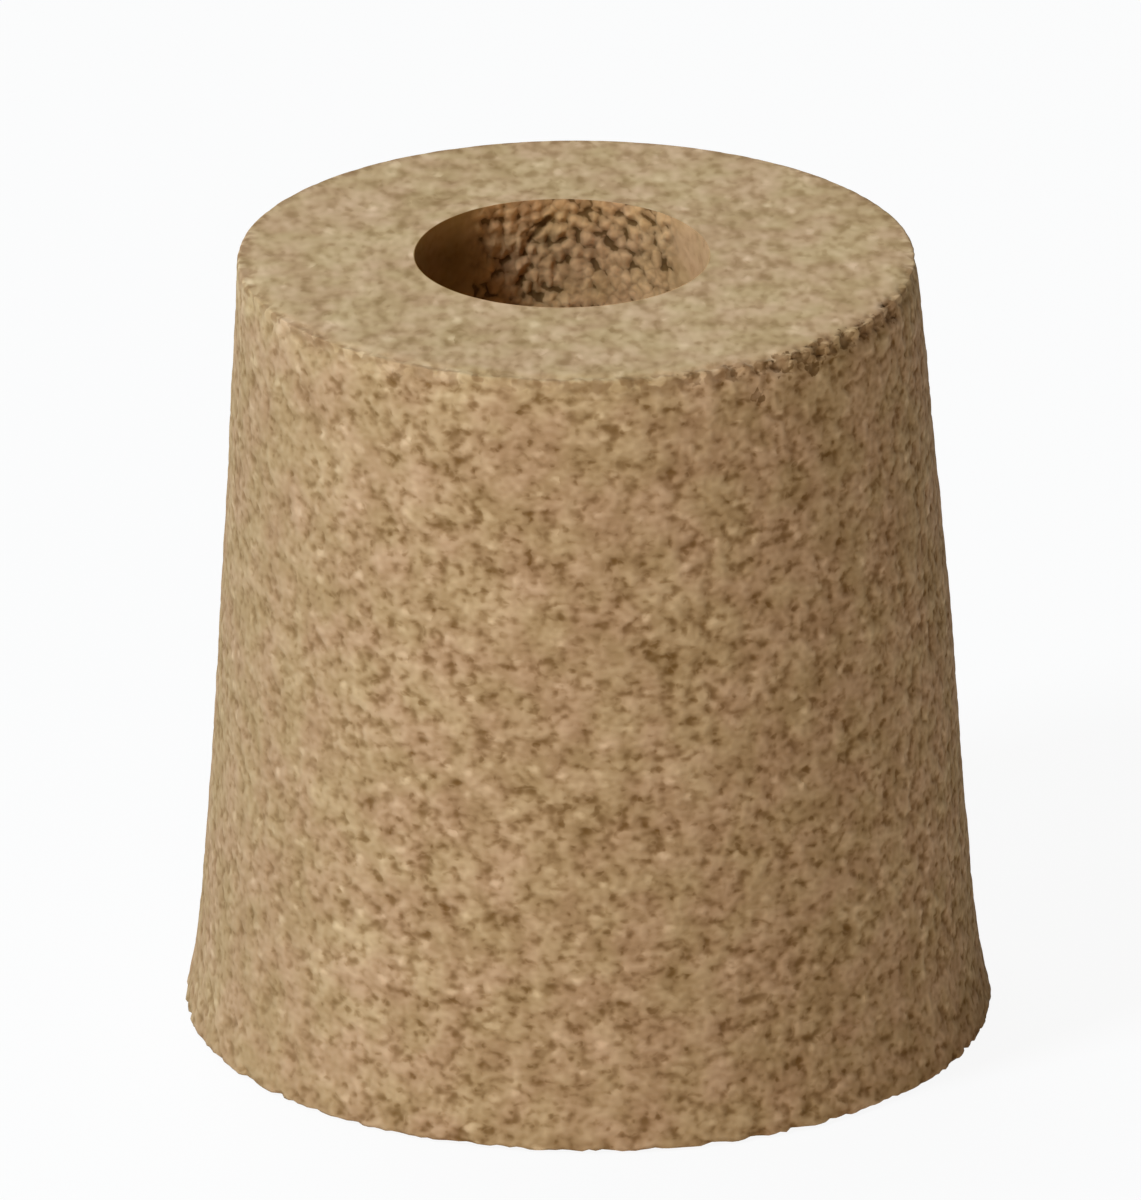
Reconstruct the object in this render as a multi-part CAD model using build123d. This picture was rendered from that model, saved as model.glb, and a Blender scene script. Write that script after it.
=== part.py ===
"""Bored cork stopper: one piece of agglomerated cork, standing on its wide end.

A tapered plug with a foot that flares, faces sliced a little out of square to the
taper, and a hole bored through it a little off centre, for an airlock or a glass tube.
Millimetres, +Z up. The origin is the centre of the wide face, on the surface that the
stopper stands on, and +X points towards the crumbled side of the narrow rim.
"""

from build123d import *

import os
from math import asin, cos, radians, sin, sqrt, tan

# Turned shape, measured along the taper's own axis.
HEIGHT = 32.5  # between the two sliced faces
NARROW_DIAMETER = 27.6  # at the narrow face, before its edge is rubbed round
WAIST_DIAMETER = 31.6  # where the straight taper ends and the foot begins to flare
WAIST_HEIGHT = 4.75
FLARE_RADIUS = 24.0  # concave sweep from the waist down to the foot
LEAN = 0.89  # degrees between the taper's axis and the square of the faces, towards -X

# Edges rubbed blunt.
FOOT_BEVEL = 0.25
RIM_BEVEL = 0.25
MOUTH_BEVEL = 0.2  # at each mouth of the bore

# Bore, square to the faces.
BORE_DIAMETER = 12.0
BORE_OFFSET_X = -0.6  # from the centre of the narrow face
BORE_OFFSET_Y = 0.4

# Crumbled side of the narrow rim: each missing grain leaves an angular hollow.
RIM_GRAINS = (  # degrees round from +X, width, drop of its middle below the narrow face
    (-13.0, 0.40, 0.0),
    (-19.5, 0.65, 0.1),
    (-25.0, 0.50, 0.0),
    (-30.0, 0.85, 0.2),
    (-36.0, 1.00, 0.0),
    (-40.5, 0.50, 0.3),
    (-45.0, 0.95, 0.0),
    (-47.0, 0.60, 1.3),
    (-49.5, 0.70, 0.1),
    (-53.0, 1.05, 0.1),
    (-57.5, 0.50, 0.0),
    (-59.0, 0.60, 1.8),
    (-62.5, 0.85, 0.0),
    (-68.0, 0.60, 0.1),
    (-75.0, 0.45, 0.0),
)
GRAIN_LENGTH = 1.3  # a grain's length for each millimetre of its width
GRAIN_THICKNESS = 0.8
GRAIN_TURN = 137.5  # degrees that each grain is turned by more than the one before

# Shallow round dents in the foot's rubbed edge, most of the way round.
FOOT_DENTS = 9
FOOT_DENTS_FROM = -172.0  # degrees round from +X
FOOT_DENTS_TO = 150.0
FOOT_DENT_SMALL = 0.4  # radius of the smallest dent
FOOT_DENT_LARGE = 0.8
FOOT_DENT_DEPTH = 0.3  # share of a dent's radius that goes into the rubbed edge
UNEVENNESS = 0.618034  # step that spreads the dents' sizes and spacings unevenly


def narrow_centre_x():
    """How far the lean carries the middle of the narrow face."""
    return -HEIGHT * tan(radians(LEAN))


def taper_slope():
    """Radius gained for each millimetre down the straight taper."""
    return (WAIST_DIAMETER - NARROW_DIAMETER) / 2 / (HEIGHT - WAIST_HEIGHT)


def flare_centre():
    """Centre of the arc that leaves the taper at the waist without a kink."""
    slope = taper_slope()
    steep = sqrt(1 + slope**2)
    return (
        WAIST_DIAMETER / 2 + FLARE_RADIUS / steep,
        WAIST_HEIGHT + FLARE_RADIUS * slope / steep,
    )


def wall_radius(height):
    """Radius of the turned wall at a height along its axis."""
    if height >= WAIST_HEIGHT:
        return WAIST_DIAMETER / 2 - (height - WAIST_HEIGHT) * taper_slope()
    centre_r, centre_z = flare_centre()
    return centre_r - sqrt(FLARE_RADIUS**2 - (height - centre_z) ** 2)


def turned_blank():
    """The taper and its flare, turned a little past both faces and then leant."""
    spare = WAIST_DIAMETER * tan(radians(LEAN))
    top = HEIGHT + spare
    bottom = -spare
    centre_r, centre_z = flare_centre()
    waist_angle = asin((WAIST_HEIGHT - centre_z) / FLARE_RADIUS)
    end_angle = asin((bottom - centre_z) / FLARE_RADIUS)
    middle = (waist_angle + end_angle) / 2
    with BuildPart() as blank:
        with BuildSketch(Plane.XZ):
            with BuildLine():
                Line((0, bottom), (0, top))
                Line((0, top), (wall_radius(top), top))
                Line((wall_radius(top), top), (WAIST_DIAMETER / 2, WAIST_HEIGHT))
                ThreePointArc(
                    (WAIST_DIAMETER / 2, WAIST_HEIGHT),
                    (
                        centre_r - FLARE_RADIUS * cos(middle),
                        centre_z + FLARE_RADIUS * sin(middle),
                    ),
                    (wall_radius(bottom), bottom),
                )
                Line((wall_radius(bottom), bottom), (0, bottom))
            make_face()
        revolve(axis=Axis.Z)
    return blank.part.rotate(Axis.Y, -LEAN)


def sliced_blank():
    """The blank with both faces sliced flat and parallel."""
    size = 2 * WAIST_DIAMETER
    slab = Pos(0, 0, HEIGHT / 2) * Box(size, size, HEIGHT)
    return turned_blank() & slab


def bore_cut():
    """The drilled hole, with its broken edge at both mouths."""
    radius = BORE_DIAMETER / 2
    hole = Cylinder(radius, 2 * HEIGHT)
    mouth = Cone(radius, radius + 2 * MOUTH_BEVEL, 2 * MOUTH_BEVEL)
    low_mouth = Cone(radius + 2 * MOUTH_BEVEL, radius, 2 * MOUTH_BEVEL)
    cut = hole + Pos(0, 0, HEIGHT / 2) * mouth + Pos(0, 0, -HEIGHT / 2) * low_mouth
    return Pos(narrow_centre_x() + BORE_OFFSET_X, BORE_OFFSET_Y, HEIGHT / 2) * cut


def grain(width, turn):
    """One angular grain, turned about all three axes."""
    block = Box(width, width * GRAIN_LENGTH, width * GRAIN_THICKNESS)
    return Rotation(turn, 2 * turn, 3 * turn) * block


def rim_grains():
    """The grains that are missing from the narrow rim, where they were."""
    made = []
    for number, (azimuth, width, drop) in enumerate(RIM_GRAINS):
        angle = radians(azimuth)
        middle = HEIGHT - drop
        out = wall_radius(middle)
        lean_x = -middle * tan(radians(LEAN))
        place = Pos(out * cos(angle) + lean_x, out * sin(angle), middle)
        made.append(place * grain(width, (number + 1) * GRAIN_TURN))
    return made


def foot_dents():
    """Dents of uneven size, unevenly spaced round the foot."""
    made = []
    step = (FOOT_DENTS_TO - FOOT_DENTS_FROM) / FOOT_DENTS
    for number in range(FOOT_DENTS):
        size_share = (number * UNEVENNESS) % 1
        shift = (number * UNEVENNESS**2 * 5) % 1
        angle = radians(FOOT_DENTS_FROM + step * (number + shift))
        radius = FOOT_DENT_SMALL + (FOOT_DENT_LARGE - FOOT_DENT_SMALL) * size_share
        reach = (radius * (1 - FOOT_DENT_DEPTH) - FOOT_BEVEL / sqrt(2)) / sqrt(2)
        out = wall_radius(0) + reach
        made.append(Pos(out * cos(angle), out * sin(angle), -reach) * Sphere(radius))
    return made


def stopper():
    """The finished cork: sliced, its edges rubbed, bored, and crumbled."""
    body = sliced_blank()
    by_height = body.faces().sort_by(Axis.Z)
    rim = by_height[-1].outer_wire().edges()
    foot = by_height[0].outer_wire().edges()
    body = chamfer(rim, RIM_BEVEL)
    body = chamfer(foot, FOOT_BEVEL)
    body -= bore_cut()
    body -= rim_grains()
    body -= foot_dents()
    return largest(body)


def largest(body):
    """The body without the crumbs that two hollows may cut loose between them."""
    return body.solids().sort_by(SortBy.VOLUME)[-1]


def main():
    os.makedirs("parts", exist_ok=True)
    cork = stopper()
    print("solids", len(cork.solids()), "volume", round(cork.volume), "mm3")
    box = cork.bounding_box()
    print("box", box.min, box.max)
    export_step(cork, "parts/cork_stopper.step")


main()
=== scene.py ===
from math import cos, pi, radians, sin, sqrt, tan
from typing import NamedTuple

import bpy
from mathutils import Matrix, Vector


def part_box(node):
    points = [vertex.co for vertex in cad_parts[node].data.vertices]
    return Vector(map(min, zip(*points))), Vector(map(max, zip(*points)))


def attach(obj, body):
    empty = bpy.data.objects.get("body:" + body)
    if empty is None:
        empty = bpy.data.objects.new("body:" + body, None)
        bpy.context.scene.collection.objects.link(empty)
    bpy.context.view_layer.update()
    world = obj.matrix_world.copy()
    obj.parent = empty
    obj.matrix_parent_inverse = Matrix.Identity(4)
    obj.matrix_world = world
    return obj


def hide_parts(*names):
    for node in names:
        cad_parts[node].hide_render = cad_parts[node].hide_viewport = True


bl_info = {
    "name": "Cork Stopper",
    "version": (1, 0, 0),
    "blender": (4, 5, 0),
    "location": "View3D > Sidebar > Cork Stopper",
    "description": "Models a bored cork stopper and the plain stage it stands on",
    "category": "Object",
}

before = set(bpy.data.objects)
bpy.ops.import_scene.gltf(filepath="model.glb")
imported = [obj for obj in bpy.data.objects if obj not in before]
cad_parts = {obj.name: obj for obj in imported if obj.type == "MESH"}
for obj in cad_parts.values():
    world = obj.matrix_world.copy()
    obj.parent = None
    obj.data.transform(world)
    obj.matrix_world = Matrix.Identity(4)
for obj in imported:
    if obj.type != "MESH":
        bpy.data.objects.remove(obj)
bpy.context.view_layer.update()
NODE = "cork_stopper"
LOW, HIGH = (Vector(corner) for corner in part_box(NODE))
MM = 0.001


class Patterns(NamedTuple):
    """One value for each pattern of the cork: where it is high, or its weight."""

    broad: object
    middle: object
    small: object
    pits: object
    flecks: object
    mottle: object


# Unless a comment says otherwise, lengths from here on are in mm, and bearings in
# degrees from +X towards +Y. A pair of numbers is where a feature begins and where it
# is whole. A noise has the size of its blobs, then its detail, then its roughness.

# The stopper's mesh: how many sides and rings it has, and where the rings beside an
# edge lie. The rings down the bore are given by their depth.
SIDES = 96
WALL_RINGS = 33
FACE_RINGS = 7
RIM_RING = 0.3
FOOT_RING = 0.45
BORE_RINGS = (0.25, 0.7, 1.4, 2.1, 3.0, 4.2, 6.0, 9.0, 14.0, 20.0)
SMOOTH_LEVELS = 2
OUTER_CREASE = 0.3
MOUTH_CREASE = 1.0
LOW_MOUTH_CREASE = 0.8
RING_SLACK = 0.05

# The pattern lies stretched: on the wall along its height, on the upper face across it.
PRESSED = (0.92, 0.92, 1.15)
SLICED = (0.95, 0.52, 1.0)

# Grains in three sizes, as shares of a grain.
GRAIN_SHARES = (1.3, 0.62, 0.31)

# Pits in the gaps between grains, in shares of a grain: the push that frays them, the
# noise of the gaps and that of the small specks, and the levels of noise for each.
PIT_PUSH = (0.2, 0.06)
GAP_NOISE = (0.62, 1.4, 0.55)
SPECK_NOISE = (0.36, 0.4)
GAP_LEVELS = (0.50, 0.26)
GAP_DARK = 0.8
SPECK_LEVELS = (0.45, 0.24)
SPECK_GAP_LEVELS = (0.62, 0.40)

# Pale flecks, in shares of a grain: their push and size, how far from a fleck's middle
# it fades in, and the chance that a cell holds one. The shift keeps the cells' pattern
# clear of the one that the pits follow.
FLECK_PUSH = (0.6, 0.2)
FLECK_SHIFT = (31.7, 31.7, 31.7)
FLECK_SIZE = 0.85
FLECK_EDGE = (0.42, 0.05)
FLECK_CHANCE = (0.3, 0.8)

# Broad light and dark patches over the whole cork.
MOTTLE_NOISE = (3.6, 1.0)

# Light and dark: the tone of plain cork, and what each pattern adds to it.
PLAIN_TONE = 0.08
WALL_TONE = Patterns(0.68, 0.75, 0.66, -0.76, 0.6, 0.35)
FACE_TONE = Patterns(0.4, 0.6, 0.46, -0.36, 0.45, 0.35)
BORE_TONE_SHARE = 0.3
TONE_REACH = 1.1
# Painted light: the far left of the wall, where the key lamp falls head-on, and the
# share by which the grain's contrast is lowered there.
HEAD_ON_LIT_SIDE = (-7.0, -14.0)
HEAD_ON_LIT_CALM = 0.35

# Patches that lean to green or to pink: their noise in grains, its levels and tints.
TINT_NOISE = (2.2, 1.0, 0.6)
TINT_LEVELS = (0.3, 0.7)
GREENER = (0.98, 1.007, 0.955, 1.0)
PINKER = (1.017, 0.991, 1.022, 1.0)

# Surface: how high the middle and small grains stand in the bump, and the bump's share
# on the upper face and in the bore.
BUMP_STRENGTH = 0.5
BUMP_HEIGHT = 0.2
MIDDLE_BUMP = 0.5
SMALL_BUMP = 0.42
FACE_BUMP = 0.35
BORE_BUMP = 0.3
CRUMB_BUMP = 0.7
ROUGHNESS = 0.75
PIT_ROUGHNESS = 0.2
SPECULAR = 0.03

# Relief of the mesh: the grains' share of the look's relief, what is left of it on the
# upper face and what the wide face loses, and the wobble of the wall.
GRAIN_LIFT = 1.8
FACE_RELIEF = 0.15
WIDE_FACE_CALM = 0.7
WIDE_FACE = (0.12, 0.02)
WOBBLE_SIZE = 7.0
WOBBLE_LIFT = 0.14

# Where a place is on the bore's wall, as distances out from it; and on the upper face,
# as drops below it, both for the mesh and for the softer change of colour.
ON_BORE = (0.04, 0.01)
ON_FACE = (0.12, 0.01)
SANDED_OVER_RIM = (0.7, 0.05)

# Three bands at the narrow rim, each as drops below the face and insets from its edge.
WORN_BAND = ((1.1, 0.15), (0.8, 0.1))
BROWN_BAND = ((1.2, 0.3), (0.7, 0.1))
LEFT_RIM_SHADE_BAND = ((0.5, 0.1), (0.4, 0.05))

# The stopper's crumbled side: the direction it faces, and how far out that way. The
# front, by its y.
CRUMBLED_WAY = (0.72, -0.69)
CRUMBLED_SIDE = (7.0, 11.5)
FRONT_SIDE = (3.0, -6.0)

# Wear of the rim and the foot: its noise and levels, the least wear of the rim, the
# shares that the front and the crumbled side take, and the depth that is lost.
WEAR_NOISE = (0.6, 2.0, 0.6)
RIM_WEAR_LEVELS = (0.30, 0.70)
LEAST_RIM_WEAR = 0.25
FRONT_WEAR = 0.6
CRUMBLED_WEAR = 0.4
RIM_WEAR_DEPTH = 0.3
INWARD_DROP = 0.9
FOOT_BAND = (0.9, 0.1)
FOOT_WEAR_LEVELS = (0.46, 0.72)
FOOT_WEAR_DEPTH = 0.16

# Colour at the rim: ragged brown where it is torn, which on the crumbled side is partly
# painted shade; a ragged line of painted shade along the left of the rim; brown and
# dark in the chips.
TORN_NOISE = (0.55, 1.0)
TORN_LEVELS = (0.42, 0.56)
TORN_BROWN_AND_SHADE = 0.3
LEFT_RIM_SHADE_SIDE = (4.0, -2.0)
LEFT_RIM_SHADE = 0.03
LEFT_RIM_RAGGED_SHADE = 0.14
CHIP_BROWN = 0.5
CHIP_DARK = 0.4
CHIP_DARK_LEVELS = (0.1, -0.1)
CHIP_COLOUR_DEPTHS = (0.05, 0.25)

# Patches of the wall that took the upper face's colour, more of them near the rim, and
# the drops below the face and insets from its edge at which the rim's colours begin.
PATCH_NOISE = (1.1, 1.0)
PATCH_LEVELS = (0.62, 0.95)
PATCH_SHARE = 0.5
NEAR_RIM = (2.4, 0.2)
NEAR_RIM_SHARE = 0.5
WALL_TO_RIM = (2.6, 2.4)
FACE_TO_RIM = (1.3, 1.1)

# Chips at the narrow rim that show from a step away: bearing, drop below the upper
# face, half width and depth. Then the noise that frays them, how far it reaches in half
# widths, their edge in half widths, and the share of their depth that the mesh loses.
RIM_CHIPS = (
    (-21.5, 0.30, 0.50, 0.40),
    (-27.0, 0.25, 0.40, 0.25),
    (-32.0, 0.20, 0.45, 0.30),
    (-37.0, 0.25, 0.55, 0.45),
    (-41.0, 0.35, 0.40, 0.30),
    (-44.5, 0.20, 0.55, 0.50),
    (-46.5, 0.90, 0.42, 0.35),
    (-48.5, 0.25, 0.40, 0.30),
    (-52.5, 0.30, 0.55, 0.45),
    (-58.5, 1.50, 0.40, 0.35),
    (-57.0, 0.30, 0.40, 0.25),
    (-63.0, 0.20, 0.55, 0.25),
    (-70.0, 0.20, 0.50, 0.20),
    (-111.0, 0.45, 0.35, 0.12),
    (-117.0, 0.40, 0.30, 0.10),
    (-122.0, 0.60, 0.45, 0.14),
)
CHIP_NOISE = (0.28, 1.0, 0.6)
CHIP_RAGGED = 2.4
CHIP_EDGE = (1.05, 0.45)
CHIP_DEPTH_SHARE = 0.35

# The stretch of the bore's wall that the drill tore: the bearing of its middle, and the
# cosines of the angle from there. Its crumbs: the push that frays them, their size and
# roundness, their height above the gaps, and the finer noise on them.
TORN_BEARING = radians(84.0)
TORN_STRETCH = (0.66, 0.8)
CRUMB_PUSH = (0.5, 0.2)
CRUMB_SIZE = 0.52
CRUMB_ROUND = 1.5
CRUMB_TOP = 0.25
CRUMB_NOISE = (0.34, 0.6)
CRUMB_ROUGH = 1.1
CRUMB_LIFT = 0.2
CRUMBS_DOWN = (0.08, 0.6)
# Painted shade in the gaps between crumbs: the levels and darkness of the soft shade,
# then those of the darkest shade in the deepest gaps.
GAP_SHADE_LEVELS = (0.2, -0.35)
GAP_SHADE = 0.4
GAP_DEEP_LEVELS = (-0.15, -0.5)
GAP_DEEP = 0.85
# The left of the bore's wall, by the x of the direction from its axis, where painted
# shadow darkens it.
BORE_SHADOW_SIDE = (-0.4, -0.75)

# The gouge in the bore's wall: its two ends, its half width, the share of that at which
# its floor begins, its depth, and how dark it is painted, which is painted shadow.
GOUGE_START = (-1.65, 6.35, 31.65)
GOUGE_END = (-2.45, 6.25, 30.7)
GOUGE_WIDTH = 0.28
GOUGE_FLOOR = 0.3
GOUGE_DEPTH = 0.14
GOUGE_SHADOW = 0.85

# The bore's worn mouth: how deep and how far out the wear reaches, and its far side, by
# the y of the direction from the bore's axis.
MOUTH_DEPTH = 8.0
MOUTH_REACH = 2.0
FAR_SIDE = (-0.2, 1.0)

# The stage, in metres: the floor and the part of it that the camera sees as white; and
# the camera. A lamp has its name and the setting for its power, its bearing from the
# camera round to the left and its height, both in degrees, its distance, size, colour.
FLOOR_SIZE = 6.0
FLOOR_GREY = (0.8, 0.8, 0.8, 1.0)
FLOOR_WHITE_SHARE = 0.92
WHITE = (1.0, 1.0, 1.0, 1.0)
LAMPS = (
    ("key lamp", "key_power", 54, 44, 0.8, (0.13, 0.13), (0.91, 1.0, 1.09)),
    ("side lamp", "side_power", 100, 8, 1.2, (0.4, 0.4), (0.75, 1.05, 1.3)),
    ("front lamp", "front_power", -10, 5, 1.2, (0.6, 0.2), (1.2, 1.0, 0.74)),
    ("back lamp", "back_power", 160, 55, 1.2, (0.7, 0.7), (0.95, 1.0, 1.0)),
)
CAMERA_PITCH = radians(21.511)
CAMERA_AIM = Vector((-0.758, 0.0, 17.606)) * MM
CAMERA_DISTANCE = 1.0
CAMERA_CLIP = (0.05, 20.0)
SENSOR_WIDTH = 36.0


class StopperSizes(bpy.types.PropertyGroup):
    """Sizes of the turned and bored cork."""

    height: bpy.props.FloatProperty(
        name="Height",
        description="Between the two sliced faces",
        default=HIGH.z - LOW.z,
        unit="LENGTH",
    )
    narrow_radius: bpy.props.FloatProperty(
        name="Narrow radius",
        description="Radius of the upper face",
        default=13.8 * MM,
        unit="LENGTH",
    )
    waist_radius: bpy.props.FloatProperty(
        name="Waist radius",
        description="Radius where the taper ends and the foot flares",
        default=15.8 * MM,
        unit="LENGTH",
    )
    waist_height: bpy.props.FloatProperty(
        name="Waist height",
        description="Height at which the foot begins to flare",
        default=4.75 * MM,
        unit="LENGTH",
    )
    flare_radius: bpy.props.FloatProperty(
        name="Flare radius",
        description="Radius of the sweep from the waist down to the foot",
        default=24.0 * MM,
        unit="LENGTH",
    )
    lean: bpy.props.FloatProperty(
        name="Lean",
        description="Angle between the taper's axis and the square of the faces",
        default=radians(0.89),
        subtype="ANGLE",
    )
    bow: bpy.props.FloatProperty(
        name="Bow",
        description="How far the taper's axis bows out to the right halfway up",
        default=0.11 * MM,
        unit="LENGTH",
    )
    bore_radius: bpy.props.FloatProperty(
        name="Bore radius",
        description="Radius of the hole through the stopper",
        default=6.0 * MM,
        unit="LENGTH",
    )
    bore_offset: bpy.props.FloatVectorProperty(
        name="Bore offset",
        description="From the centre of the upper face to the hole's axis",
        size=2,
        default=(-0.6 * MM, 0.4 * MM),
        unit="LENGTH",
    )
    mouth_flare: bpy.props.FloatProperty(
        name="Mouth flare",
        description="How far the far side of the bore's mouth has worn back",
        default=0.45 * MM,
        unit="LENGTH",
    )


class CorkLook(bpy.types.PropertyGroup):
    """Grain, relief and colour of pressed cork."""

    grain_size: bpy.props.FloatProperty(
        name="Grain size",
        description="Across one cork grain",
        default=0.95 * MM,
        unit="LENGTH",
    )
    relief: bpy.props.FloatProperty(
        name="Relief",
        description="How far grains stand out of the turned wall",
        default=0.035 * MM,
        unit="LENGTH",
    )
    pit_depth: bpy.props.FloatProperty(
        name="Pit depth",
        description="Depth of the gaps between grains",
        default=0.08 * MM,
        unit="LENGTH",
    )
    cork: bpy.props.FloatVectorProperty(
        name="Cork",
        description="Colour of most grains",
        subtype="COLOR",
        size=3,
        default=(0.41, 0.254, 0.129),
    )
    pale: bpy.props.FloatVectorProperty(
        name="Pale grain",
        description="Colour of the palest grains and flecks",
        subtype="COLOR",
        size=3,
        default=(0.74, 0.515, 0.315),
    )
    bark: bpy.props.FloatVectorProperty(
        name="Bark",
        description="Colour of the brown grains",
        subtype="COLOR",
        size=3,
        default=(0.175, 0.086, 0.027),
    )
    # Partly the sanded face's own colour and partly painted sheen, which also goes to
    # the wall's pale patches.
    sanded_and_sheen: bpy.props.FloatVectorProperty(
        name="Sanded and sheen",
        description="How the grains' colours change on the sanded upper face",
        size=3,
        default=(1.28, 1.37, 1.44),
    )
    # Partly the bore's own tint and partly painted light: it makes the bore's wall
    # paler than the outer wall, where less light reaches.
    drilled_and_lit: bpy.props.FloatVectorProperty(
        name="Drilled and lit",
        description="How the grains' colours change on the bore's wall",
        size=3,
        default=(1.62, 1.58, 1.50),
    )
    # Painted shadow: it darkens the left of the bore's wall, where the lip's shadow
    # falls, and is no mark of the drill.
    bore_shadow: bpy.props.FloatVectorProperty(
        name="Bore shadow",
        description="How the bore's colours change where the drill darkened its wall",
        size=3,
        default=(0.53, 0.50, 0.36),
    )
    pit: bpy.props.FloatVectorProperty(
        name="Pit",
        description="Colour of the gaps between grains",
        subtype="COLOR",
        size=3,
        default=(0.075, 0.032, 0.003),
    )


class StageLook(bpy.types.PropertyGroup):
    """Light and camera."""

    key_power: bpy.props.FloatProperty(
        name="Key power",
        description="Power of the lamp at the upper left",
        default=4.5,
        unit="POWER",
    )
    side_power: bpy.props.FloatProperty(
        name="Side power",
        description="Power of the low lamp at the left",
        default=3.8,
        unit="POWER",
    )
    front_power: bpy.props.FloatProperty(
        name="Front power",
        description="Power of the broad soft lamp behind the camera",
        default=3.6,
        unit="POWER",
    )
    back_power: bpy.props.FloatProperty(
        name="Back power",
        description="Power of the broad soft lamp behind the stopper",
        default=5.4,
        unit="POWER",
    )
    fill: bpy.props.FloatProperty(
        name="Fill",
        description="Strength of the even light from all round",
        default=0.023,
    )
    focal_length: bpy.props.FloatProperty(
        name="Focal length",
        description="Focal length of the camera's lens",
        default=735.3,
        unit="CAMERA",
    )


class Wire:
    """A socket of a node tree, with arithmetic that adds the nodes for it."""

    def __init__(self, graph, socket):
        self.graph = graph
        self.socket = socket

    def math(self, operation, first, second=0.0, clamp=False):
        return self.graph.node(
            "ShaderNodeMath",
            {"operation": operation, "use_clamp": clamp},
            {0: first, 1: second},
        )

    def __add__(self, other):
        return self.math("ADD", self, other)

    __radd__ = __add__

    def __mul__(self, other):
        return self.math("MULTIPLY", self, other)

    __rmul__ = __mul__

    def __sub__(self, other):
        return self.math("SUBTRACT", self, other)

    def __rsub__(self, other):
        return self.math("SUBTRACT", other, self)

    def __truediv__(self, other):
        return self.math("DIVIDE", self, other)

    def __rtruediv__(self, other):
        return self.math("DIVIDE", other, self)

    def __pow__(self, other):
        return self.math("POWER", self, other)

    def __rpow__(self, other):
        return self.math("POWER", other, self)

    def most(self, other):
        return self.math("MAXIMUM", self, other)

    def clamp(self):
        return self.math("ADD", self, 0.0, clamp=True)

    def beside(self, output):
        """Another output of the same node."""
        return Wire(self.graph, self.socket.node.outputs[output])

    def ramp(self, start, end):
        """Rises evenly from 0 at start to 1 at end."""
        return self.graph.node(
            "ShaderNodeMapRange",
            None,
            {"Value": self, "From Min": start, "From Max": end},
        )

    def step(self, start, end):
        """Rises smoothly from 0 at start to 1 at end, or falls if end is below."""
        if start > end:
            return 1 - self.step(end, start)
        return self.graph.node(
            "ShaderNodeMapRange",
            {"interpolation_type": "SMOOTHSTEP"},
            {"Value": self, "From Min": start, "From Max": end},
        )


class Graph:
    """A node tree that is written as expressions."""

    def __init__(self, tree):
        self.tree = tree
        self.tree.nodes.clear()

    def node(self, kind, settings=None, sockets=None, output=0):
        """Adds a node, and gives one of its outputs if it has any."""
        made = self.tree.nodes.new(kind)
        for name, value in (settings or {}).items():
            setattr(made, name, value)
        for name, value in (sockets or {}).items():
            if isinstance(value, Wire):
                self.tree.links.new(value.socket, made.inputs[name])
            else:
                made.inputs[name].default_value = value
        return Wire(self, made.outputs[output]) if made.outputs else None

    def vector(self, operation, first, second):
        return self.node(
            "ShaderNodeVectorMath", {"operation": operation}, {0: first, 1: second}
        )

    def scaled(self, place, scale):
        return self.node(
            "ShaderNodeVectorMath", {"operation": "SCALE"}, {0: place, "Scale": scale}
        )

    def unit(self, place):
        return self.node("ShaderNodeVectorMath", {"operation": "NORMALIZE"}, {0: place})

    def length(self, place):
        return self.node(
            "ShaderNodeVectorMath", {"operation": "LENGTH"}, {0: place}, "Value"
        )

    def dot(self, first, second):
        return self.node(
            "ShaderNodeVectorMath",
            {"operation": "DOT_PRODUCT"},
            {0: first, 1: second},
            "Value",
        )

    def joined(self, x, y, z):
        return self.node("ShaderNodeCombineXYZ", None, {0: x, 1: y, 2: z})

    def split(self, place):
        x = self.node("ShaderNodeSeparateXYZ", None, {0: place})
        return x, x.beside(1), x.beside(2)

    def blend(self, share, first, second, mode="MIX"):
        """Mixes two colours."""
        return self.node(
            "ShaderNodeMix",
            {"data_type": "RGBA", "blend_type": mode},
            {0: share, 6: first, 7: second},
            2,
        )

    def changed(self, colour, change):
        """A colour multiplied by another."""
        return self.blend(1.0, colour, (*change, 1.0), "MULTIPLY")

    def joint(self, share, first, second):
        """Mixes two surfaces."""
        return self.node("ShaderNodeMixShader", None, {0: share, 1: first, 2: second})

    def noise(self, place, size, detail=0.0, rough=0.5, output=0):
        """Noise whose blobs are about as wide as size."""
        return self.node(
            "ShaderNodeTexNoise",
            {"noise_dimensions": "3D"},
            {
                "Vector": place,
                "Scale": 1 / size,
                "Detail": detail,
                "Roughness": rough,
            },
            output,
        )

    def cells(self, place, size):
        """Distance from the middles of cells about as wide as size."""
        return self.node(
            "ShaderNodeTexVoronoi",
            {"voronoi_dimensions": "3D"},
            {"Vector": place, "Scale": 1 / size},
            "Distance",
        )

    def seen(self):
        """1 for rays from the camera, mirrored and clear ones among them."""
        camera = self.node("ShaderNodeLightPath", None, None, "Is Camera Ray")
        mirrored = camera.most(camera.beside("Is Glossy Ray"))
        return mirrored.most(camera.beside("Is Transmission Ray"))

    def pushed(self, place, size, reach):
        """A place pushed about by noise, so that cells lose their straight sides."""
        shove = self.noise(place, size, 1.0, output="Color")
        centred = self.vector("SUBTRACT", shove, (0.5, 0.5, 0.5))
        return self.vector("ADD", place, self.scaled(centred, 2 * reach))


def bore_side(graph, place, sizes):
    """Direction from the bore's axis, and how far from it a place is, in mm."""
    x, y, z = graph.split(place)
    bore_x = sizes.bore_offset[0] / MM - sizes.height / MM * tan(sizes.lean)
    bore_y = sizes.bore_offset[1] / MM
    away = graph.joined(x - bore_x, y - bore_y, 0.0)
    return graph.unit(away), graph.length(away)


def near_top(height_of_place, sizes, drops):
    """Rises from the first drop below the upper face to the second."""
    height = sizes.height / MM
    return height_of_place.step(height - drops[0], height - drops[1])


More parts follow.
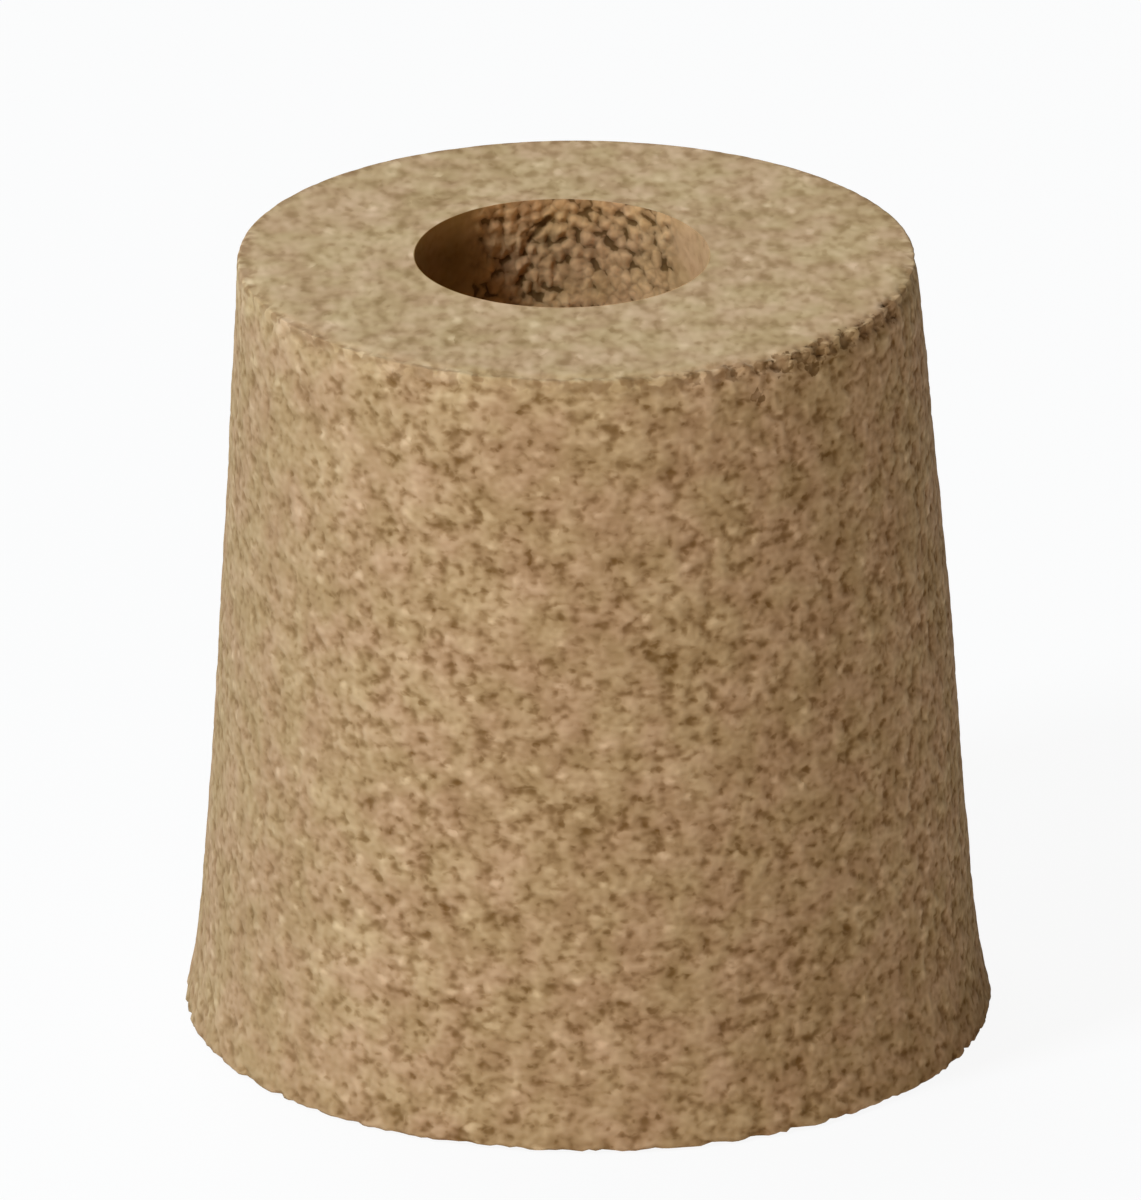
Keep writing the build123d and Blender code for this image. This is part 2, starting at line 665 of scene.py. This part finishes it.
def near_edge(from_axis, sizes, insets):
    """Rises from the first inset from the narrow face's edge to the second."""
    narrow = sizes.narrow_radius / MM
    return from_axis.step(narrow - insets[0], narrow - insets[1])


def rim_band(z, from_axis, sizes, band):
    """1 in a band at the narrow rim."""
    drops, insets = band
    return near_top(z, sizes, drops) * near_edge(from_axis, sizes, insets)


def skin_at(graph, place, sizes):
    """Where a place is: 1 on the upper face, 1 on the bore's wall, and the distance in
    mm from the stopper's axis."""
    x, y, z = graph.split(place)
    from_axis = graph.length(graph.joined(x + z * tan(sizes.lean), y, 0.0))
    bore_radius = sizes.bore_radius / MM
    from_bore = bore_side(graph, place, sizes)[1]
    bore = from_bore.step(bore_radius + ON_BORE[0], bore_radius + ON_BORE[1])
    top = near_top(z, sizes, ON_FACE) * (1 - bore)
    return top, bore, from_axis


def crumbled_at(x, y):
    """1 on the crumbled side of the stopper."""
    return (x * CRUMBLED_WAY[0] + y * CRUMBLED_WAY[1]).step(*CRUMBLED_SIDE)


def grain_noise(graph, place, look, size, *shape, **output):
    """Noise whose blobs are a share of a grain."""
    return graph.noise(place, size * look.grain_size / MM, *shape, **output)


def grains_at(graph, place, look):
    """Light and proud grains against dark and low ones, in three sizes, about 0."""
    return tuple(grain_noise(graph, place, look, share) - 0.5 for share in GRAIN_SHARES)


def frayed_at(graph, place, look):
    """A place pushed about a little, for the ragged edges of pits and flecks."""
    size = look.grain_size / MM
    return graph.pushed(place, *(share * size for share in PIT_PUSH))


def pits_at(graph, frayed, look):
    """Dark ragged pits in the gaps between grains, 0 to 1."""
    gaps = grain_noise(graph, frayed, look, *GAP_NOISE)
    specks = grain_noise(graph, frayed, look, *SPECK_NOISE).step(*SPECK_LEVELS)
    wide = gaps.step(*GAP_LEVELS) * GAP_DARK
    return wide.most(specks * gaps.step(*SPECK_GAP_LEVELS))


def flecks_at(graph, frayed, look):
    """Pale flecks, 0 to 1."""
    size = look.grain_size / MM
    pushed = graph.pushed(frayed, *(share * size for share in FLECK_PUSH))
    cells = graph.cells(graph.vector("ADD", pushed, FLECK_SHIFT), FLECK_SIZE * size)
    chance = graph.split(cells.beside("Color"))[0]
    return cells.step(*FLECK_EDGE) * chance.ramp(*FLECK_CHANCE)


def patterns_at(graph, place, mottle, look):
    """All the patterns, to go with the mottle."""
    frayed = frayed_at(graph, place, look)
    return Patterns(
        *grains_at(graph, place, look),
        pits_at(graph, frayed, look),
        flecks_at(graph, frayed, look),
        mottle,
    )


def crumbs_at(graph, place, sizes):
    """Crumbs that the drill tore up on the far side of the bore: about 0.3 on top of
    one, and down to about -0.5 in the gaps between them."""
    frayed = graph.pushed(place, *CRUMB_PUSH)
    crumbs = CRUMB_TOP - graph.cells(frayed, CRUMB_SIZE) ** CRUMB_ROUND
    crumbs = crumbs + (graph.noise(place, *CRUMB_NOISE) - 0.5) * CRUMB_ROUGH
    side = bore_side(graph, place, sizes)[0]
    middle = (cos(TORN_BEARING), sin(TORN_BEARING), 0.0)
    return crumbs * graph.dot(side, middle).step(*TORN_STRETCH)


def chips_at(graph, place, sizes):
    """Depth in mm of the chips that stand out at the narrow rim."""
    height = sizes.height / MM
    reach = sizes.narrow_radius / MM
    ragged = (graph.noise(place, *CHIP_NOISE) - 0.5) * CHIP_RAGGED
    depth = None
    for bearing, drop, width, deep in RIM_CHIPS:
        around = radians(bearing)
        centre = (
            reach * cos(around) - height * tan(sizes.lean),
            reach * sin(around),
            height - drop,
        )
        away = graph.length(graph.vector("SUBTRACT", place, centre)) / width
        chip = (away + ragged).step(*CHIP_EDGE) * deep
        depth = chip if depth is None else depth.most(chip)
    return depth


def gouge_at(graph, place):
    """1 in the gouge that the drill left in the bore's wall."""
    along = Vector(GOUGE_END) - Vector(GOUGE_START)
    offset = graph.vector("SUBTRACT", place, GOUGE_START)
    share = (graph.dot(offset, tuple(along)) / along.length_squared).clamp()
    beside = graph.vector("SUBTRACT", offset, graph.scaled(tuple(along), share))
    floor = GOUGE_FLOOR * GOUGE_WIDTH
    return (graph.length(beside) + share * floor).step(GOUGE_WIDTH, floor)


def mouth_wear(graph, place, z, sizes):
    """How far the far side of the bore's mouth has worn back, in metres."""
    side, reach = bore_side(graph, place, sizes)
    bore_radius = sizes.bore_radius / MM
    mouth = reach.step(bore_radius + MOUTH_REACH, bore_radius)
    mouth = mouth * near_top(z, sizes, (MOUTH_DEPTH, 0.0))
    return graph.split(side)[1].step(*FAR_SIDE) * mouth * sizes.mouth_flare


def cork_relief(sizes, look):
    """The modifier that gives the turned surface its grains, pits and worn edges."""
    tree = bpy.data.node_groups.new("Cork relief", "GeometryNodeTree")
    for way in ("INPUT", "OUTPUT"):
        tree.interface.new_socket(
            "Geometry", in_out=way, socket_type="NodeSocketGeometry"
        )
    graph = Graph(tree)
    mesh = graph.node("NodeGroupInput")
    place = graph.scaled(graph.node("GeometryNodeInputPosition"), 1 / MM)
    normal = graph.node("GeometryNodeInputNormal")
    top, bore, from_axis = skin_at(graph, place, sizes)
    x, y, z = graph.split(place)

    wear = graph.noise(place, *WEAR_NOISE)
    rim_wear = wear.step(*RIM_WEAR_LEVELS) * (1 - LEAST_RIM_WEAR) + LEAST_RIM_WEAR
    rim_wear = rim_wear * rim_band(z, from_axis, sizes, WORN_BAND)
    sides = y.step(*FRONT_SIDE) * FRONT_WEAR + crumbled_at(x, y) * CRUMBLED_WEAR
    rim_wear = rim_wear * sides
    foot_wear = wear.step(*FOOT_WEAR_LEVELS) * (z.step(*FOOT_BAND) * (1 - bore))

    pressed = graph.vector("MULTIPLY", place, PRESSED)
    broad, middle = grains_at(graph, pressed, look)[:2]
    pits = pits_at(graph, frayed_at(graph, pressed, look), look)
    wobble = graph.noise(place, WOBBLE_SIZE) - 0.5
    wall = 1 - top.most(bore)
    grained = wall + top * FACE_RELIEF
    inside = (sizes.height / MM - z).step(*CRUMBS_DOWN) * bore
    lift = (broad + middle) * grained * (GRAIN_LIFT * look.relief / MM)
    lift = lift - pits * grained * (look.pit_depth / MM)
    lift = lift + wobble * wall * WOBBLE_LIFT
    lift = lift + crumbs_at(graph, place, sizes) * inside * CRUMB_LIFT
    lift = lift - gouge_at(graph, place) * GOUGE_DEPTH
    lift = lift - foot_wear * FOOT_WEAR_DEPTH
    lift = lift * (1 - z.step(*WIDE_FACE) * WIDE_FACE_CALM)

    offset = graph.scaled(normal, lift * MM)
    worn_back = graph.joined(0.0, mouth_wear(graph, place, z, sizes), 0.0)
    offset = graph.vector("ADD", offset, worn_back)
    inward = graph.unit(graph.joined(0 - x, 0 - y, from_axis * -INWARD_DROP))
    loss = rim_wear * RIM_WEAR_DEPTH + chips_at(graph, place, sizes) * CHIP_DEPTH_SHARE
    offset = graph.vector("ADD", offset, graph.scaled(inward, loss * MM))
    marked = graph.node(
        "GeometryNodeStoreNamedAttribute",
        {"data_type": "FLOAT_VECTOR", "domain": "POINT"},
        {"Geometry": mesh, "Name": "turned_place", "Value": place},
    )
    moved = graph.node(
        "GeometryNodeSetPosition", None, {"Geometry": marked, "Offset": offset}
    )
    graph.node("NodeGroupOutput", None, {0: moved})
    return tree


def tone_of(patterns, weights):
    """Light and dark of the grains, about 0, with a weight for each of the patterns."""
    tone = PLAIN_TONE
    for pattern, weight in zip(patterns, weights):
        tone = tone + pattern * weight
    return tone


def grain_bumps(patterns):
    """How high the grains stand, for the bump."""
    return patterns.middle * MIDDLE_BUMP + patterns.small * SMALL_BUMP


def bumped(graph, colour, pits, bumps):
    """A matte surface of a colour, roughest in the pits."""
    normal = graph.node(
        "ShaderNodeBump",
        None,
        {"Strength": BUMP_STRENGTH, "Distance": BUMP_HEIGHT * MM, "Height": bumps},
    )
    return graph.node(
        "ShaderNodeBsdfPrincipled",
        None,
        {
            "Base Color": colour,
            "Roughness": ROUGHNESS + pits * PIT_ROUGHNESS,
            "Normal": normal,
            "Specular IOR Level": SPECULAR,
        },
    )


def cork_colour(graph, place, tone, look):
    """Brown of the grains by their tone, a little pinker or greener in patches."""
    dark_to_cork = tone.ramp(-TONE_REACH, 0.0)
    colour = graph.blend(dark_to_cork, (*look.bark, 1.0), (*look.cork, 1.0))
    colour = graph.blend(tone.ramp(0.0, TONE_REACH), colour, (*look.pale, 1.0))
    warmth = grain_noise(graph, place, look, *TINT_NOISE).step(*TINT_LEVELS)
    tint = graph.blend(warmth, GREENER, PINKER)
    return graph.blend(1.0, colour, tint, "MULTIPLY")


def patches_at(graph, place, more=0.0):
    """Patches of the wall that took the upper face's colour, 0 to 1."""
    return (graph.noise(place, *PATCH_NOISE) + more).step(*PATCH_LEVELS)


def rim_colour(graph, colour, small, place, sizes, look, face):
    """The colour where the narrow rim is near: brown where it is torn, partly painted
    shade on the crumbled side; a ragged line of painted shade along the left of the
    rim; and chipped. The last value says whether it is the upper face's half of the
    rim."""
    x, y, z = graph.split(place)
    from_axis = skin_at(graph, place, sizes)[2]
    ragged = graph.noise(place, *TORN_NOISE).step(*TORN_LEVELS)
    rim = rim_band(z, from_axis, sizes, BROWN_BAND)
    torn = ragged * rim
    # On the crumbled side the torn brown is partly torn cork and partly painted shade,
    # and it keeps no pale patches.
    shaded = rim * crumbled_at(x, y)
    if face:
        share = 1 - torn
    else:
        near = near_top(z, sizes, NEAR_RIM) * (1 - shaded * torn) * NEAR_RIM_SHARE
        share = patches_at(graph, place, near) * (1 - shaded) * PATCH_SHARE
    colour = graph.blend(share, colour, graph.changed(colour, look.sanded_and_sheen))
    # A ragged line of painted shade along the left of the rim, which dims the light
    # that its rounding catches.
    left_rim_shade = rim_band(z, from_axis, sizes, LEFT_RIM_SHADE_BAND) * x.step(*LEFT_RIM_SHADE_SIDE)
    left_rim_shade = left_rim_shade * (LEFT_RIM_SHADE + ragged * LEFT_RIM_RAGGED_SHADE)
    chips = chips_at(graph, place, sizes).step(*CHIP_COLOUR_DEPTHS)
    brown = left_rim_shade.most(shaded * torn * TORN_BROWN_AND_SHADE).most(chips * CHIP_BROWN)
    colour = graph.blend(brown, colour, (*look.bark, 1.0))
    dark = chips * small.step(*CHIP_DARK_LEVELS) * CHIP_DARK
    return graph.blend(dark, colour, (*look.pit, 1.0))


def wall_skin(graph, place, patterns, sizes, look):
    """The turned wall, paler and with its grain's contrast lowered at its left, as
    painted light where the key lamp falls head-on, and its half of the rim.
    """
    x, y, z = graph.split(place)
    # Painted light: the grain's contrast is lowered at the far left, where the key lamp
    # falls head-on.
    head_on_calm = 1 - x.step(*HEAD_ON_LIT_SIDE) * HEAD_ON_LIT_CALM
    tone = tone_of(patterns, WALL_TONE) * head_on_calm
    colour = cork_colour(graph, place, tone, look)
    bumps = grain_bumps(patterns)
    at_rim = rim_colour(graph, colour, patterns.small, place, sizes, look, face=False)
    patches = patches_at(graph, place) * PATCH_SHARE
    plain = graph.blend(patches, colour, graph.changed(colour, look.sanded_and_sheen))
    return graph.joint(
        near_top(z, sizes, WALL_TO_RIM),
        bumped(graph, plain, patterns.pits, bumps),
        bumped(graph, at_rim, patterns.pits, bumps),
    )


def face_skin(graph, place, patterns, from_axis, sizes, look):
    """The sliced upper face, smoothed by sanding, whose paler colour is partly painted
    sheen, and its half of the rim.
    """
    colour = cork_colour(graph, place, tone_of(patterns, FACE_TONE), look)
    bumps = grain_bumps(patterns) * FACE_BUMP
    at_rim = rim_colour(graph, colour, patterns.small, place, sizes, look, face=True)
    plain = graph.changed(colour, look.sanded_and_sheen)
    return graph.joint(
        near_edge(from_axis, sizes, FACE_TO_RIM),
        bumped(graph, plain, patterns.pits, bumps),
        bumped(graph, at_rim, patterns.pits, bumps),
    )


def bore_skin(graph, place, patterns, sizes, look):
    """The bore's wall: paler than the outer wall, partly as painted light; painted
    shadow at its left; torn at its far side, with painted shade in the gaps between
    crumbs and in the gouge.
    """
    tone = tone_of(patterns, WALL_TONE) * BORE_TONE_SHARE
    # Painted light, in part: the bore's wall is paler than the outer wall.
    drilled_and_lit = graph.changed(cork_colour(graph, place, tone, look), look.drilled_and_lit)
    # Painted shadow on the left of the bore's wall.
    bore_shadow = graph.changed(drilled_and_lit, look.bore_shadow)
    side = bore_side(graph, place, sizes)[0]
    left = graph.split(side)[0].step(*BORE_SHADOW_SIDE)
    colour = graph.blend(left, drilled_and_lit, bore_shadow)
    crumbs = crumbs_at(graph, place, sizes)
    # Painted shade in the gaps between crumbs, darkest in the deepest gaps.
    dark = crumbs.step(*GAP_SHADE_LEVELS) * GAP_SHADE
    dark = dark.most(crumbs.step(*GAP_DEEP_LEVELS) * GAP_DEEP)
    # Painted shadow in the gouge.
    dark = dark.most(gouge_at(graph, place) * GOUGE_SHADOW)
    colour = graph.blend(dark, colour, (*look.pit, 1.0))
    bumps = grain_bumps(patterns) * BORE_BUMP + crumbs * CRUMB_BUMP
    return bumped(graph, colour, patterns.pits, bumps)


def cork_material(sizes, look):
    """Pressed cork: soft mottled browns, pale flecks, dark gaps between grains."""
    material = bpy.data.materials.new("Pressed cork")
    material.use_nodes = True
    graph = Graph(material.node_tree)
    place = graph.node(
        "ShaderNodeAttribute",
        {"attribute_type": "GEOMETRY", "attribute_name": "turned_place"},
        None,
        "Vector",
    )
    top, bore, from_axis = skin_at(graph, place, sizes)
    mottle = graph.noise(place, *MOTTLE_NOISE) - 0.5
    pressed = graph.vector("MULTIPLY", place, PRESSED)
    turned = patterns_at(graph, pressed, mottle, look)
    sliced = graph.vector("MULTIPLY", place, SLICED)
    level = patterns_at(graph, sliced, mottle, look)
    over_rim = near_top(graph.split(place)[2], sizes, SANDED_OVER_RIM)
    outside = graph.joint(
        top.most(over_rim * (1 - bore)),
        wall_skin(graph, place, turned, sizes, look),
        face_skin(graph, place, level, from_axis, sizes, look),
    )
    surface = graph.joint(bore, outside, bore_skin(graph, place, turned, sizes, look))
    graph.node("ShaderNodeOutputMaterial", None, {"Surface": surface})
    return material


def wall_radius(sizes, height):
    """Radius of the turned wall at a height, as on the solid."""
    slope = (sizes.waist_radius - sizes.narrow_radius) / (
        sizes.height - sizes.waist_height
    )
    radius = sizes.waist_radius + (sizes.waist_height - height) * slope
    if height < sizes.waist_height:
        radius += (sizes.waist_height - height) ** 2 / (2 * sizes.flare_radius)
    return radius


def wall_rings(sizes):
    """Centre and radius of each ring of the turned wall above the foot."""
    evenly = [ring * sizes.height / WALL_RINGS for ring in range(1, WALL_RINGS)]
    last = (sizes.height - RIM_RING * MM, sizes.height)
    for z in (FOOT_RING * MM, *evenly, *last):
        share = (z - sizes.waist_height) / (sizes.height - sizes.waist_height)
        share = max(0.0, share)
        bow = sizes.bow * 4 * share * (1 - share)
        yield Vector((bow - z * tan(sizes.lean), 0.0, z)), wall_radius(sizes, z)


def face_rings(sizes, top_centre, bore_centre):
    """Centre and radius of each ring of the upper face, from the rim in to the bore."""
    land = sizes.narrow_radius - sizes.bore_radius
    for ring in range(FACE_RINGS + 1):
        share = ring / FACE_RINGS if ring else RIM_RING * MM / land
        yield top_centre.lerp(bore_centre, share), sizes.narrow_radius - share * land


def extrude_ring(move, scale=1.0, centre=(0.0, 0.0, 0.0)):
    """Extrudes the selected ring by a move, then scales it about a centre."""
    bpy.ops.mesh.extrude_region_move(TRANSFORM_OT_translate={"value": move})
    bpy.ops.transform.resize(value=(scale, scale, 1.0), center_override=centre)


def select_ring(mesh, centre, radius, height):
    """Selects the edges of the ring at one height and distance from an axis."""
    slack = RING_SLACK * MM
    found = set()
    for vertex in mesh.vertices:
        reach = sqrt((vertex.co.x - centre.x) ** 2 + (vertex.co.y - centre.y) ** 2)
        if abs(vertex.co.z - height) < slack and abs(reach - radius) < slack:
            found.add(vertex.index)
    if not found:
        raise RuntimeError("No ring at the height asked for")
    for edge in mesh.edges:
        edge.select = set(edge.vertices) <= found
    for vertex in mesh.vertices:
        vertex.select = vertex.index in found
    for face in mesh.polygons:
        face.select = False


def crease_ring(body, centre, radius, height, crease, sharp=False):
    """Keeps a ring crisp when the body is smoothed, and if sharp when it is shaded."""
    bpy.ops.object.mode_set(mode="OBJECT")
    select_ring(body.data, centre, radius, height)
    bpy.ops.object.mode_set(mode="EDIT")
    bpy.ops.transform.edge_crease(value=crease)
    if sharp:
        bpy.ops.mesh.mark_sharp()


def close_wide_face():
    """Bridges the foot and the bore's low mouth, which are the two open rings."""
    bpy.ops.mesh.select_mode(type="VERT")
    bpy.ops.mesh.select_all(action="DESELECT")
    bpy.ops.mesh.select_non_manifold()
    bpy.ops.mesh.select_mode(type="EDGE")
    bpy.ops.mesh.bridge_edge_loops(number_cuts=1, interpolation="LINEAR")
    bpy.ops.mesh.select_all(action="SELECT")
    bpy.ops.mesh.normals_make_consistent(inside=False)


class STOPPER_OT_cork_body(bpy.types.Operator):
    """Turns, bores and roughens the cork."""

    bl_idname = "stopper.cork_body"
    bl_label = "Cork body"

    def execute(self, context):
        sizes = context.scene.stopper_sizes
        look = context.scene.stopper_cork
        foot = wall_radius(sizes, 0.0)
        bpy.ops.object.select_all(action="DESELECT")
        bpy.ops.mesh.primitive_circle_add(
            vertices=SIDES, radius=foot, location=(0, 0, 0)
        )
        body = context.object
        body.name = "cork_body"
        bpy.ops.object.mode_set(mode="EDIT")
        bpy.ops.mesh.select_all(action="SELECT")

        top_centre = Vector((-sizes.height * tan(sizes.lean), 0.0, sizes.height))
        bore_centre = top_centre + Vector((*sizes.bore_offset, 0.0))
        rings = (*wall_rings(sizes), *face_rings(sizes, top_centre, bore_centre))
        centre_before, radius_before = Vector(), foot
        for centre, radius in rings:
            extrude_ring(centre - centre_before, radius / radius_before, centre)
            centre_before, radius_before = centre, radius
        depth_before = 0.0
        for depth in (*(ring * MM for ring in BORE_RINGS), sizes.height):
            extrude_ring((0.0, 0.0, depth_before - depth))
            depth_before = depth
        close_wide_face()

        top = sizes.height
        crease_ring(body, top_centre, sizes.narrow_radius, top, OUTER_CREASE)
        crease_ring(body, Vector(), foot, 0.0, OUTER_CREASE)
        crease_ring(body, bore_centre, sizes.bore_radius, top, MOUTH_CREASE, sharp=True)
        crease_ring(body, bore_centre, sizes.bore_radius, 0.0, LOW_MOUTH_CREASE)
        bpy.ops.object.mode_set(mode="OBJECT")

        smooth = body.modifiers.new("Smooth", "SUBSURF")
        smooth.levels = SMOOTH_LEVELS
        smooth.render_levels = SMOOTH_LEVELS
        bpy.ops.object.modifier_apply(modifier=smooth.name)
        relief = body.modifiers.new("Relief", "NODES")
        relief.node_group = cork_relief(sizes, look)
        bpy.ops.object.modifier_apply(modifier=relief.name)
        bpy.ops.object.shade_smooth()
        body.data.materials.append(cork_material(sizes, look))
        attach(body, "root")
        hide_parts(NODE)
        return {"FINISHED"}


def floor_material():
    """Matte white, and to the camera white with a trace of the shadow."""
    material = bpy.data.materials.new("Pale floor")
    material.use_nodes = True
    graph = Graph(material.node_tree)
    matte = graph.node("ShaderNodeBsdfDiffuse", None, {"Color": FLOOR_GREY})
    glow = graph.node("ShaderNodeEmission", None, {"Color": WHITE, "Strength": 1.0})
    surface = graph.joint(graph.seen() * FLOOR_WHITE_SHARE, matte, glow)
    graph.node("ShaderNodeOutputMaterial", None, {"Surface": surface})
    return material


def light_world(strength):
    """Even light from all round, seen as white by the camera and in reflections."""
    world = bpy.data.worlds.new("Studio")
    bpy.context.scene.world = world
    world.use_nodes = True
    graph = Graph(world.node_tree)
    level = strength + graph.seen() * (1 - strength)
    sky = graph.node("ShaderNodeBackground", None, {"Color": WHITE, "Strength": level})
    graph.node("ShaderNodeOutputWorld", None, {"Surface": sky})


def area_lamp(name, place, aim, size, power, colour):
    """A flat soft lamp that faces its aim."""
    facing = (aim - place).to_track_quat("-Z", "Y").to_euler()
    bpy.ops.object.light_add(type="AREA", location=place, rotation=facing)
    lamp = bpy.context.object
    lamp.name = name
    lamp.data.shape = "RECTANGLE"
    lamp.data.size, lamp.data.size_y = size
    lamp.data.energy = power
    lamp.data.color = colour


class STOPPER_OT_stage(bpy.types.Operator):
    """Lays the floor, hangs the lamps and sets up the camera."""

    bl_idname = "stopper.stage"
    bl_label = "Stage"

    def execute(self, context):
        stage = context.scene.stopper_stage
        bpy.ops.object.select_all(action="DESELECT")
        bpy.ops.mesh.primitive_plane_add(size=FLOOR_SIZE, location=(0.0, 0.0, 0.0))
        floor = context.object
        floor.name = "floor"
        floor.data.materials.append(floor_material())

        light_world(stage.fill)
        middle = Vector((0.0, 0.0, (HIGH.z + LOW.z) / 2))
        for name, power, bearing, height, away, size, colour in LAMPS:
            bearing = radians(bearing)
            height = radians(height)
            place = middle + away * Vector(
                (-sin(bearing) * cos(height), -cos(bearing) * cos(height), sin(height))
            )
            area_lamp(name, place, middle, size, getattr(stage, power), colour)

        back = Vector((0.0, -cos(CAMERA_PITCH), sin(CAMERA_PITCH)))
        bpy.ops.object.camera_add(
            location=CAMERA_AIM + back * CAMERA_DISTANCE,
            rotation=(pi / 2 - CAMERA_PITCH, 0.0, 0.0),
        )
        camera = context.object
        camera.name = "camera"
        camera.data.lens = stage.focal_length
        camera.data.sensor_width = SENSOR_WIDTH
        camera.data.clip_start, camera.data.clip_end = CAMERA_CLIP
        context.scene.camera = camera
        context.scene.view_settings.view_transform = "Standard"
        return {"FINISHED"}


class STOPPER_PT_panel(bpy.types.Panel):
    """Buttons for the stopper and its stage."""

    bl_idname = "STOPPER_PT_panel"
    bl_label = "Cork Stopper"
    bl_space_type = "VIEW_3D"
    bl_region_type = "UI"
    bl_category = "Cork Stopper"

    def draw(self, context):
        layout = self.layout
        for settings in ("stopper_sizes", "stopper_cork", "stopper_stage"):
            group = getattr(context.scene, settings)
            box = layout.box()
            for name in group.__annotations__:
                box.prop(group, name)
        layout.operator(STOPPER_OT_cork_body.bl_idname)
        layout.operator(STOPPER_OT_stage.bl_idname)


CLASSES = (
    StopperSizes,
    CorkLook,
    StageLook,
    STOPPER_OT_cork_body,
    STOPPER_OT_stage,
    STOPPER_PT_panel,
)


def register():
    for each in CLASSES:
        bpy.utils.register_class(each)
    scene = bpy.types.Scene
    scene.stopper_sizes = bpy.props.PointerProperty(type=StopperSizes)
    scene.stopper_cork = bpy.props.PointerProperty(type=CorkLook)
    scene.stopper_stage = bpy.props.PointerProperty(type=StageLook)


def unregister():
    del bpy.types.Scene.stopper_stage
    del bpy.types.Scene.stopper_cork
    del bpy.types.Scene.stopper_sizes
    for each in reversed(CLASSES):
        bpy.utils.unregister_class(each)


def main():
    register()
    bpy.ops.stopper.stage()
    bpy.ops.stopper.cork_body()


if __name__ == "__main__":
    main()
